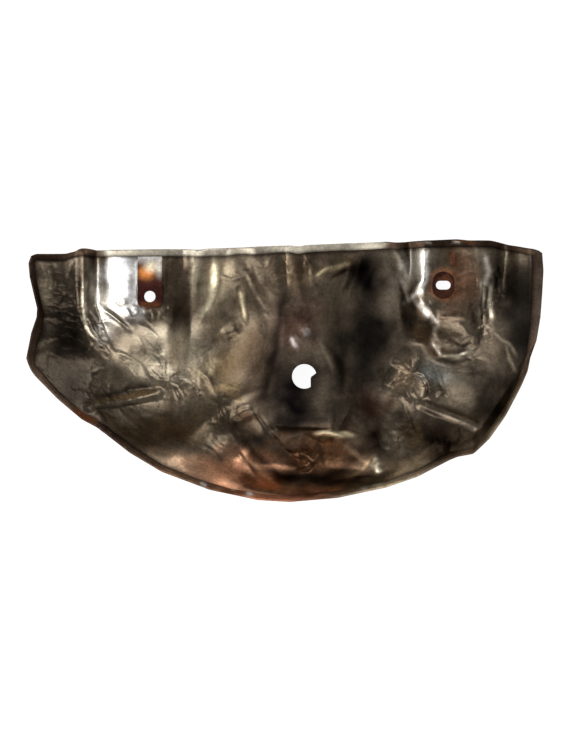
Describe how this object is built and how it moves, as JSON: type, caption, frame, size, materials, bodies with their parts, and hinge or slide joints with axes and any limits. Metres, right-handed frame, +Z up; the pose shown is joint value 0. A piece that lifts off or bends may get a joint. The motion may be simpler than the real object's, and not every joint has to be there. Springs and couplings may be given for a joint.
{
  "type": "exhaust heat shield",
  "caption": "Deep dished exhaust heat shield of pressed sheet steel with a wrinkled foil liner, a folded hem, a round bolt hole and a slotted bolt hole.",
  "frame": {"origin": "on the floor under the middle of the outline; the shield lies on the back of its dish, with the hollow side up", "axes": "+X runs along the straight top edge from the round hole to the slot, +Y points to that edge, +Z points up out of the hollow"},
  "size_m": [0.4139, 0.2108, 0.0493],
  "materials": {
    "outer_sheet": "aged, heat tinted, rust along the folded edge and at the bolt holes",
    "inner_liner": "glossy wrinkled foil, heat tinted brown, bronze and purple"
  },
  "bodies": {
    "root": {"outer_sheet": "outer_sheet", "inner_liner": "inner_liner"}
  },
  "joints": []
}
